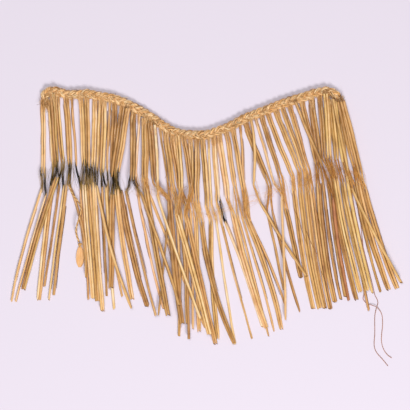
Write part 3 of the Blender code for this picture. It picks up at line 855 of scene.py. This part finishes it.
# %% How bright and how warm each strand is
# A row for each strand: tone of its upper roll, tone of its lower roll and tone of its
# fibre (0 is dark brown, 1 is pale straw); a fibre tone below zero is dyed black.
TONES = [
    (0.72, 0.72, -1), (0.62, 0.66, -1), (0.50, 0.60, -1), (0.66, 0.66, -1),
    (0.62, 0.60, -1), (0.60, 0.60, -1), (0.62, 0.64, -1), (0.46, 0.58, -1),
    (0.62, 0.68, -1), (0.74, 0.74, -1), (0.60, 0.62, -1), (0.58, 0.60, -1),
    (0.56, 0.60, -1), (0.50, 0.56, -1), (0.66, 0.70, -1), (0.64, 0.66, -1),
    (0.74, 0.72, 0.55), (0.66, 0.62, 0.55), (0.46, 0.56, 0.45), (0.44, 0.58, 0.40),
    (0.78, 0.76, 0.60), (0.60, 0.42, 0.40), (0.62, 0.64, 0.55), (0.64, 0.60, 0.50),
    (0.62, 0.62, 0.50), (0.58, 0.60, 0.50), (0.70, 0.66, 0.60), (0.72, 0.52, 0.55),
    (0.66, 0.66, 0.60), (0.76, 0.76, 0.65), (0.74, 0.74, 0.60), (0.66, 0.60, 0.50),
    (0.64, 0.62, 0.50), (0.54, 0.52, 0.45), (0.60, 0.60, 0.50), (0.34, 0.40, 0.35),
    (0.62, 0.60, 0.50), (0.64, 0.66, 0.50), (0.60, 0.60, 0.45), (0.62, 0.62, 0.50),
    (0.64, 0.64, 0.50), (0.60, 0.58, 0.45), (0.66, 0.62, 0.45), (0.60, 0.52, 0.40),
    (0.58, 0.60, 0.45), (0.60, 0.62, 0.45), (0.56, 0.60, 0.45), (0.60, 0.62, 0.40),
    (0.58, 0.60, 0.45), (0.66, 0.68, 0.50), (0.56, 0.50, 0.45), (0.66, 0.72, 0.55),
    (0.66, 0.70, 0.50), (0.70, 0.72, 0.55)]
BLACK_LEGS = {"strand_31": 1}      # one strip's fibre is dyed, beside an undyed one
print("tones:", len(TONES))

# %% One roll of leaf
WALL = 0.35                        # a dry leaf's thickness, mm
LEAF_COLUMNS = 13                  # points across a face of the leaf
TABLE_CLEAR = 0.04                 # what a roll keeps above the table, mm


def roll_line(rings, count, bend, extend=0.0):
    """A smooth line through a roll's rings, with a slight wander from the numbers `bend`.

    In plan it is the one polynomial through the rings. `extend` adds millimetres before
    the first ring.
    """
    t = np.linspace(0, 1, len(rings))
    span = run_of(rings)[-1]
    s = np.linspace(-extend / span, 1, count)
    x, y = (np.polyval(np.polyfit(t, rings[:, k], len(rings) - 1), s) for k in (0, 1))
    z = np.interp(s, t, rings[:, 2])
    z = np.convolve(np.pad(z, 2, mode="edge"), np.ones(5) / 5, "valid")
    wander = sum(a * np.sin(2 * np.pi * (f * s + b))
                 for a, f, b in zip((0.5, 0.16, 0.06), (0.8, 2.1, 4.7), bend))
    line = np.stack([x, y, z], 1)
    across = sideways(line[:, :2])
    line[:, :2] += (wander * np.clip(5 * (1 - s), 0.3, 1))[:, None] * across
    return line


def roll_grid(line, half, rng, slit, turns=1.1, cut=(0.0, 0.0)):
    """The spiral wall of one roll as a grid (1, rings, corners, 3).

    Outer face: line + half · r(a) · (cos a · side + 0.92 sin a · up), r falling from 1.07
    by the tuck; the inner face lies WALL further in. `cut` slants the first and last ring.
    """
    ahead, side, up = frames(line)
    part = np.linspace(0, 1, LEAF_COLUMNS)
    s = np.linspace(0, 1, len(line))
    opening = slit + 0.5 * np.sin(2 * np.pi * (s * rng.uniform(0.3, 0.9) + rng.random()))
    a = opening[:, None] + 2 * np.pi * turns * part
    tuck = (WALL / half + 0.04)[:, None] * turns * part
    out = 1.07 - tuck
    high = np.minimum(0.92 * half, line[:, 2] - TABLE_CLEAR)
    faces = []
    for inset in (0.0, WALL):
        r = np.maximum(out - inset / half[:, None], 0.05)
        faces.append(line[:, None] + (half[:, None] * r * np.cos(a))[..., None] * side[:, None]
                     + (high[:, None] * r * np.sin(a))[..., None] * up[:, None])
    grid = np.concatenate([faces[0], faces[1][:, ::-1]], 1)
    lean = np.concatenate([np.cos(a - 0.7), np.cos(a - 0.7)[:, ::-1]], 1)
    run = run_of(line)
    near = [np.clip(1 - along / 8, 0, 1)[:, None] for along in (run, run[-1] - run)]
    move = (cut[0] * near[0] + cut[1] * near[1]) * lean
    return (grid + move[..., None] * ahead[:, None])[None]


# where a roll's slit is, radians round its section: mostly below, now and then on top
SLITS = np.array([(math.pi, 2 * math.pi), (0.0, math.pi)])


def add_roll(skin, line, half, tone, tint, rng, cut):
    """Put one roll into a strand's skin and give its leaf's flat width and length, mm."""
    slit = rng.uniform(*rng.choice(SLITS, p=(0.7, 0.3)))
    grid = roll_grid(line, half, rng, slit, rng.uniform(1.02, 1.22), cut)
    along = run_of(line)[None] / 10 + 40 * rng.random()
    skin.add(grid, leaf_map(LEAF_COLUMNS), along, tone, "leaf", tint)
    outside = grid[0, :, :LEAF_COLUMNS]
    return run_of(outside)[:, -1].mean(), run_of(line)[-1]


# %% Upper and lower roll of every strip
ROLLS = (1.85, 2.5)                # least and greatest radius of a roll, mm
WIDE_ROLLS = (2.05, 2.75)          # the same, where the strands lie close together
CLOSE_FROM = 43                    # the first strand of the close ones
CLOSE_BROWN_AND_SHADE = 0.09                # how much darker the close ones' tone is: partly their browner leaf, partly painted shade of the dense cluster
SHIFTS = [-0.24, -0.12, 0.02, 0.12]    # what a strip's tone may differ by from its strand's
LEAST = 0.37                       # the darkest tone of a whole roll
POINTS = [0.0, 0.0, 0.0, 0.3]      # how much a lower roll may narrow at its very tip
NARROW = 0.42                      # how much a roll narrows where it meets the fibre
UPPER_POINTS, LOWER_POINTS = 24, 34
SPLIT_AND_SHADE_SHARE = 0.6                  # how many rolls have a dark split beside them, partly split leaf and partly painted shade
VALLEY_SHADE_SHARE = 0.7                 # how many pairs have a dark rod of painted shade in the valley between them
BROAD = {"strand_44": 2.75, "strand_50": 2.75}     # the least radius of two broad rolls
# how much redder (below zero) or yellower a strand's upper and lower rolls are
TINTS = {"strand_44": (0.0, -0.45), "strand_50": (0.22, 0.22), "strand_32": (-0.12, -0.12),
         "strand_17": (-0.2, -0.2)}


def apart_from(rings, more, side):
    """A strip's rings moved `more` millimetres away from the other strip of its pair."""
    moved = rings.copy()
    moved[:, :2] += side * more * sideways(rings[:, :2])
    return moved


def roll_half(size, count, lower, rng):
    """A roll's radius at its `count` points: it swells, waves and narrows to the fibre."""
    s = np.linspace(0, 1, count)
    if lower:
        point = rng.choice(POINTS)
        half = size * (1.0 - 0.08 * s - point * np.clip((s - 0.95) / 0.05, 0, 1))
    else:
        half = size * (0.84 + 0.16 * np.sin(np.pi * np.clip(s * 1.1, 0, 1)) ** 0.6)
    half *= 1 + 0.04 * np.sin(2 * np.pi * ((2.3, 3.1)[lower] * s + rng.random()))
    to_fibre = 1 - s / 0.07 if lower else (s - 0.90) / 0.10
    return half * (1 - NARROW * np.clip(to_fibre, 0, 1) ** 1.5)


def add_split_and_shade(line, size, rng):
    """Lay a narrow dark split of leaf beside most rolls, low down along one side of it; it is
    partly split leaf and partly painted shade in the gap beside the roll.
    """
    first, last = rng.uniform(0.02, 0.35), rng.uniform(0.55, 0.97)
    held = line[int(first * len(line)):int(last * len(line))]
    side = rng.choice([-1, 1]) * (size + rng.uniform(0.15, 0.8))
    t = np.linspace(0, 1, len(held))
    drift = side * (1 + 0.12 * np.sin(2 * np.pi * (t * rng.uniform(0.4, 1.2) + rng.random())))
    path = held.copy()
    path[:, :2] += drift[:, None] * sideways(held[:, :2])
    path[:, 2] = np.maximum(path[:, 2] - 0.5 * size, 0.6)
    thick = rng.uniform(0.30, 0.55) * (1 - 0.5 * t ** 3)
    # dark tones: partly the split leaf's own colour, partly painted shade in the gap
    tone = rng.choice([0.12, 0.22, 0.36, 0.55])
    if rng.random() < SPLIT_AND_SHADE_SHARE:
        round_tubes(splits_and_shade, path[None], thick, 4, tone)


def add_valley_shade(one, other, rng):
    """Lay a dark rod of painted shade in the valley between two strips that touch."""
    first, last = rng.uniform(0.0, 0.25), rng.uniform(0.65, 1.0)
    held = ((one + other) / 2)[int(first * len(one)):int(last * len(one))]
    held[:, 2] += 0.95
    thick = rng.uniform(0.36, 0.5) * (1 - 0.4 * np.linspace(-1, 1, len(held)) ** 4)
    # near-black tones: painted shade in the valley
    tone = rng.choice([0.0, 0.1, 0.22])
    if rng.random() < VALLEY_SHADE_SHARE:
        round_tubes(splits_and_shade, held[None], thick, 4, tone)


# dark splits beside the rolls and dark rods in their valleys: partly split leaf, partly painted
# shade
splits_and_shade = Skin()
for number, (name, row) in enumerate(zip(names, STRANDS)):
    rng, split_rng = np.random.default_rng(100 + number), np.random.default_rng(700 + number)
    skin, areas = Skin(), []
    upper_tone, lower_tone, _ = TONES[number]
    # the close strands are darker: partly browner leaf, partly painted shade of the dense cluster
    if number >= CLOSE_FROM:
        upper_tone, lower_tone = upper_tone - CLOSE_BROWN_AND_SHADE, lower_tone - CLOSE_BROWN_AND_SHADE
    bends = rng.random((3, 3))      # of the upper rolls, and of each lower roll
    lines = ([], [])                # of the upper rolls, and of the lower rolls
    for k, rings in enumerate(strips[name]):
        size = rng.uniform(*(WIDE_ROLLS if number >= CLOSE_FROM else ROLLS))
        size = max(size, BROAD.get(name, 0.0))
        shift = rng.choice(SHIFTS) * (1.0 if row[STRIPS] == 2 else 0.5)
        tints = rng.normal(-0.02, 0.07) + np.array(TINTS.get(name, (0.0, 0.0)))
        if row[STRIPS] == 2:
            rings = apart_from(rings, 0.97 * size - LOBE * ROLL, (-1, 1)[k])
        # a low strip runs under the plait, and one on top of it ends nearer its edge
        tucked = 7.0 if rings[0, 2] < BAND_HEIGHT - 2 else 4.0
        lines[0].append(roll_line(rings[:UPPER_RINGS], UPPER_POINTS, bends[0], tucked))
        lines[1].append(roll_line(rings[UPPER_RINGS + 1:], LOWER_POINTS,
                                  bends[1 + k if len(row) == FORKED else 1]))
        for lower, tone in enumerate((upper_tone, lower_tone)):
            line = lines[lower][k]
            half = roll_half(size, len(line), lower, rng)
            cut = ((rng.uniform(-1.2, 1.2), rng.uniform(-2.0, 2.0)) if lower
                   else (0.0, rng.uniform(-1.2, 1.2)))
            areas.append(add_roll(skin, line, half, max(tone + shift, LEAST), tints[lower],
                                  rng, cut))
            add_split_and_shade(line, size, split_rng)
    if row[STRIPS] == 2:
        add_valley_shade(*lines[0], split_rng)
        if len(row) < FORKED:
            add_valley_shade(*lines[1], split_rng)
    skin.piece(name + "_leaf", leaf, "rolled_leaf")
    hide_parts(name)
splits_and_shade.piece("split_leaf_and_shade", leaf, "rolled_leaf")

# %% [markdown]
# ## The scraped fibre
# Half way down, the flesh of the leaf is scraped off and its hair is left bare, as a loose
# bundle that comes out of one roll and runs into the next. Each hair is a thin tube with
# three sides. All the hairs of a bundle are worked out together: their places in the
# bundle's round section, how the bundle is pinched and turned, and how far a few stray.

# %% Bundles of hair
HAIRS = 30                         # hairs in one strip's fibre
HAIR_POINTS = 11
DYED_HAIR, BARE_HAIR, CURL_HAIR = (0.10, 0.19), (0.17, 0.31), (0.10, 0.20)     # radii, mm
HIGHEST = 16.0                     # where loose hairs stop rising, mm
INSIDE = 12.0                      # how far a bundle runs into its rolls, mm
NECK = 1.1                         # a bundle's radius where it leaves a roll, mm


def bundle(rings, rng, wide, turn, stray_share, stray, sway):
    """Hairs (hairs, points, 3) along the fibre of one strip, from inside roll to roll.

    Hair h is at disc place (p, q) · width(t), turned by `turn` radians down the bundle,
    and a stray also bows out by sin(πt) of its own reach. The bundle as a whole bends
    sideways by about `sway`.
    """
    before, end, middle, start, after = rings[1:6]
    first = end + (before - end) * INSIDE / np.linalg.norm(before - end)
    last = start + (after - start) * INSIDE / np.linalg.norm(after - start)
    knots = np.array([first, end, middle, start, last])
    core = finer(knots, run_of(knots)[-1] / (HAIR_POINTS - 1.5))[:HAIR_POINTS]
    t = np.linspace(0, 1, len(core))
    _, side, up = frames(core)
    place = np.sqrt(rng.random(HAIRS)) * np.exp(2j * np.pi * rng.random(HAIRS))
    width = NECK + (wide - NECK) * np.sin(np.pi * t) ** 2
    spun = place[:, None] * width * np.exp(1j * turn * t[None])
    spun = spun + rng.normal(0, 0.16, spun.shape) * np.sin(np.pi * t)
    reach = np.where(rng.random(HAIRS) < stray_share, rng.gamma(2.0, stray / 2, HAIRS), 0)
    reach = reach * rng.choice([-1, 1], HAIRS)
    bow = np.sin(np.pi * t[None] ** rng.uniform(0.6, 1.6, HAIRS)[:, None])
    spun = spun + (reach[:, None] * bow) * (1 + 0.25j * np.sign(reach)[:, None])
    spun = spun + sum(rng.normal(0, sway) * np.sin(np.pi * f * t) for f in (1, 2))
    hairs = core[None] + spun.real[..., None] * side + spun.imag[..., None] * up
    hairs[..., 2] = np.maximum(hairs[..., 2], 0.25)
    return hairs


CURLS = 4                          # curled hairs in the tangle on one undyed bundle


def tangle(place, rng):
    """Curls (curls, points, 3): arcs of circles strewn about a place on the bundle.

    Curl c is centre + r · (cos a, sin a · lean, sin a · rest), with a over half a turn
    to one and a half turns.
    """
    centre = place + rng.normal(0, 1, (CURLS, 1, 3)) * (1.5, 5.0, 0.5) + (0, 0, 1.3)
    a = rng.uniform(0, 2 * np.pi, (CURLS, 1)) + np.linspace(0, 1, 12) * rng.uniform(
        np.pi, 3 * np.pi, (CURLS, 1))
    r = rng.uniform(1.0, 2.8, (CURLS, 1)) * (1 + 0.25 * np.sin(2 * a))
    lean = rng.uniform(0.6, 1.5, (CURLS, 1))
    curls = np.stack([r * np.cos(a), r * np.sin(a) * lean, 0.5 * np.sin(a * 0.7)], -1)
    curls = centre + curls
    curls[..., 2] = np.clip(curls[..., 2], 0.3, HIGHEST + 1)
    return curls


strand_fibre = {}
for number, (name, row) in enumerate(zip(names, STRANDS)):
    rng = np.random.default_rng(300 + number)
    fibre_tone = TONES[number][2]
    black = fibre_tone < 0
    skins = {False: Skin(), True: Skin()}
    for k, rings in enumerate(strips[name]):
        is_black = black or BLACK_LEGS.get(name) == k
        if is_black:
            hairs = bundle(rings, rng, rng.uniform(1.2, 2.3), rng.uniform(0.8, 3.5), 0.28, 3.0,
                           0.85)
            # the dye took on a stretch of its own in each bundle; its ends stay olive
            t = np.linspace(0, 1, hairs.shape[1])
            low = rng.uniform(-0.05, 0.45)
            high = low + rng.uniform(0.38, 0.62)
            if not black:              # the one dyed strip of a pair is black from end to end
                low, high = 0.0, 1.0
            bare_end = np.clip(np.maximum(low - t, t - high) / 0.12 + 0.3, 0, 1)
            tone = rng.beta(0.9, 1.1, HAIRS)[:, None] + 0.9 * bare_end
            tone = tone + (rng.choice([-0.35, -0.1, 0.12]) if black else -0.5)
        else:
            hairs = bundle(rings, rng, rng.uniform(0.9, 1.8), rng.uniform(0.5, 3.5), 0.16, 2.6,
                           0.25)
            # the close strands' fibre is darker: partly browner hair, partly painted shade of the
            # dense cluster
            tone = fibre_tone + rng.normal(-0.12 if number >= CLOSE_FROM else 0.10, 0.24, HAIRS)
        round_tubes(skins[is_black], hairs, thin(rng, DYED_HAIR if is_black else BARE_HAIR, HAIRS),
                    3, np.clip(tone, 0, 1))
        if not is_black:
            curls = tangle((rings[2] + rings[3] * 2 + rings[4]) / 4, rng)
            round_tubes(skins[False], curls, thin(rng, CURL_HAIR, CURLS), 3,
                        rng.choice([0.2, 0.45, 0.6], CURLS))
    strand_fibre[name] = []
    for is_black, skin in skins.items():
        if skin.count:
            strand_fibre[name].append(skin.piece(
                name + ("_dyed" if is_black else "_fibre"), dyed if is_black else bare,
                "dyed_fibre" if is_black else "bare_fibre"))
print("bundles of fibre:", sum(len(held) for held in strand_fibre.values()))

# %% [markdown]
# ## Where the strips run into the plait
# At the waistband every strip turns to fibre again and is worked into the plait. Short hairs
# cover the step from the roll to the plait, and some stand out of it.

# %% Hairs from the rolls into the plait
ROOT_HAIRS, WAD_HAIRS = 16, 170    # hairs at one strip's root, and in a wad at a corner
CORNERS = [(-257.5, 181.0), (214.5, 182.0)]    # where the plait's ends turn into loose hair
rng = np.random.default_rng(55)
skin = Skin()
for name in names:
    for rings in strips[name]:
        top, below = rings[0], rings[1]
        down = (below - top) / np.linalg.norm(below - top)
        near = band_fine[np.argmin(np.hypot(*(band_fine - top[:2]).T))]
        inner = np.array([near[0] + (top[0] - near[0]) * 0.5, near[1], 4.2])
        t = np.linspace(0, 1, 8)[:, None]
        strewn = rng.normal(0, 1.3, (ROOT_HAIRS, 1, 2))
        low = top + down * rng.uniform(4, 16, ROOT_HAIRS)[:, None, None]
        low[..., :2] += strewn * 0.7
        low[..., 2] += 1.7
        rise = rng.uniform(0.5, 3, (ROOT_HAIRS, 1, 1))
        high = inner + np.concatenate([strewn * (2.2, 1.2), rise], 2)
        mid = top + np.concatenate([strewn, np.full(rise.shape, 2.4)], 2)
        hairs = (1 - t) ** 2 * low + 2 * t * (1 - t) * mid + t ** 2 * high
        round_tubes(skin, hairs, thin(rng, (0.1, 0.24), ROOT_HAIRS), 3,
                    rng.uniform(0.1, 0.85, ROOT_HAIRS))
for x, y in CORNERS:
    t = np.linspace(-1, 1, 9)[:, None]
    middle = (x, y, 3.6) + rng.normal(0, 1, (WAD_HAIRS, 1, 3)) * (3.0, 3.4, 1.3)
    way = rng.normal(0, 1, (WAD_HAIRS, 1, 3)) * (1.6, 1.0, 0.6) + (0, 5.5, 0)
    bend = rng.normal(0, 2.0, (WAD_HAIRS, 1, 3)) * (1, 1, 0.4)
    hairs = middle + way * t + bend * t ** 2
    hairs[..., 2] = np.clip(hairs[..., 2], 0.3, BAND_HEIGHT)
    round_tubes(skin, hairs, thin(rng, (0.12, 0.3), WAD_HAIRS), 3,
                rng.choice([0.0, 0.25, 0.5, 0.8], WAD_HAIRS))
skin.piece("strand_roots", plaited, "plaited_fibre")
print("root hairs:", ROOT_HAIRS * sum(len(held) for held in strips.values()))

# %% [markdown]
# ## Loose hair
# Between the rolls, hair has pulled out of the undyed bundles and lies tangled across its
# neighbours. Each row says where a wisp starts and ends and how many hairs it has.

# %% Wisps across the strands
WISPS = [  # x, y of one end; x, y of the other; hairs; height; tone
    (225, 75, 243, 62, 9, 10, 0.45), (205, 66, 232, 62, 7, 10, 0.4),
    (186, 58, 208, 80, 8, 9, 0.35), (152, 46, 176, 66, 7, 9, 0.4),
    (136, 60, 158, 44, 5, 8, 0.5), (92, 34, 118, 46, 8, 7, 0.45), (60, 16, 84, 30, 7, 7, 0.5),
    (8, 2, 34, 12, 5, 6, 0.5), (-52, 28, -30, 12, 6, 7, 0.45), (-92, 46, -66, 30, 7, 7, 0.45),
    (214, 84, 226, 50, 6, 9, 0.3), (196, 86, 204, 56, 6, 9, 0.35),
    (176, 80, 186, 50, 5, 9, 0.35), (48, 36, 58, 6, 5, 7, 0.45)]
rng = np.random.default_rng(77)
skin = Skin()
t = np.linspace(0, 1, 14)
for x0, y0, x1, y1, count, high, tone in WISPS:
    a, b = np.array([x0, y0, high]), np.array([x1, y1, high])
    ends = rng.normal(0, 2.6, (2, count, 1, 3)) * (1, 1, 0.35)
    line = a + (b - a) * t[:, None] + ends[0] * (1 - t[:, None]) + ends[1] * t[:, None]
    for frequency, size in ((1, 2.4), (2, 1.2), (3, 0.6)):
        wave = np.sin(np.pi * frequency * t)[None, :, None]
        line = line + wave * rng.normal(0, size, (count, 1, 3)) * (1, 1, 0.3)
    line[..., 2] = np.clip(line[..., 2], 0.4, HIGHEST)
    round_tubes(skin, line, thin(rng, (0.08, 0.16), count), 3,
                np.clip(tone + rng.normal(0, 0.15, count), 0, 1))
SLIVERS_AND_SHADE = [  # x, y of one end; x, y of the other; height; radius: dark split veins of leaf, partly painted shade between the strands
    (150, -14, 163, -50, 7.5, 0.45), (160, -24, 178, -62, 8.5, 0.5),
    (176, 10, 188, -28, 8, 0.4), (184, -88, 196, -118, 6, 0.4), (140, 12, 154, -20, 8, 0.4),
    (-66, -30, -52, -88, 8, 0.45), (-30, -60, -20, -128, 9, 0.4), (236, 34, 250, -20, 9, 0.4),
    (-168, 8, -160, -64, 8, 0.4), (-104, 12, -84, -52, 7.5, 0.4), (-62, 76, -66, 60, 8, 0.5)]
for x0, y0, x1, y1, high, radius in SLIVERS_AND_SHADE:
    a, b = np.array([x0, y0, high]), np.array([x1, y1, high - 1.5])
    line = a + (b - a) * t[:, None] + np.sin(np.pi * t)[:, None] * rng.normal(0, 0.8, 3)
    # their dark tone is partly the veins' own colour and partly painted shade
    round_tubes(skin, line[None], radius * (1 - 0.5 * t), 4, 0.12)
skin.piece("loose_wisps", bare, "bare_fibre")
print("loose hairs:", sum(row[4] for row in WISPS))

# %% [markdown]
# ## Table and light
# A pale lavender table, a broad soft light low at the lower right, which throws the soft
# shadows up and to the left, and an even light from all round.

# %% Table
floor_mesh = bpy.data.meshes.new("floor")
FLOOR, BELOW = 3.0, 0.0001         # half the table's width, and how far it is below z = 0, m
floor_mesh.from_pydata([(x * FLOOR, y * FLOOR, -BELOW)
                        for x, y in ((-1, -1), (1, -1), (1, 1), (-1, 1))], [], [(0, 1, 2, 3)])
floor = put("floor", floor_mesh)
paper = bpy.data.materials.new("pale_table")
paper.use_nodes = True
paper_shader = paper.node_tree.nodes["Principled BSDF"]
paper_shader.inputs["Base Color"].default_value = (0.70, 0.638, 0.718, 1)
paper_shader.inputs["Roughness"].default_value = 0.8
paper_shader.inputs["Specular IOR Level"].default_value = 0.1
floor_mesh.materials.append(paper)
print("table, m across:", 2 * FLOOR)


# %% Lights
def soft_light(name, place, size, watts):
    """A square area light that faces the skirt's middle."""
    data = bpy.data.lights.new(name, "AREA")
    data.size = size
    data.energy = watts
    obj = put(name, data)
    obj.location = place
    x, y, z = place
    obj.rotation_euler = (math.atan2(math.hypot(x, y), z), 0, math.atan2(y, x) + math.pi / 2)


soft_light("window", (1.3, -3.9, 3.4), 1.7, 252)
soft_light("ceiling", (-0.5, 0.8, 4.6), 1.6, 112)
world = bpy.data.worlds.new("room")
bpy.context.scene.world = world
world.use_nodes = True
world.node_tree.nodes["Background"].inputs["Color"].default_value = (0.97, 0.95, 1.0, 1)
world.node_tree.nodes["Background"].inputs["Strength"].default_value = 0.20
print("lights: 2 and the room")
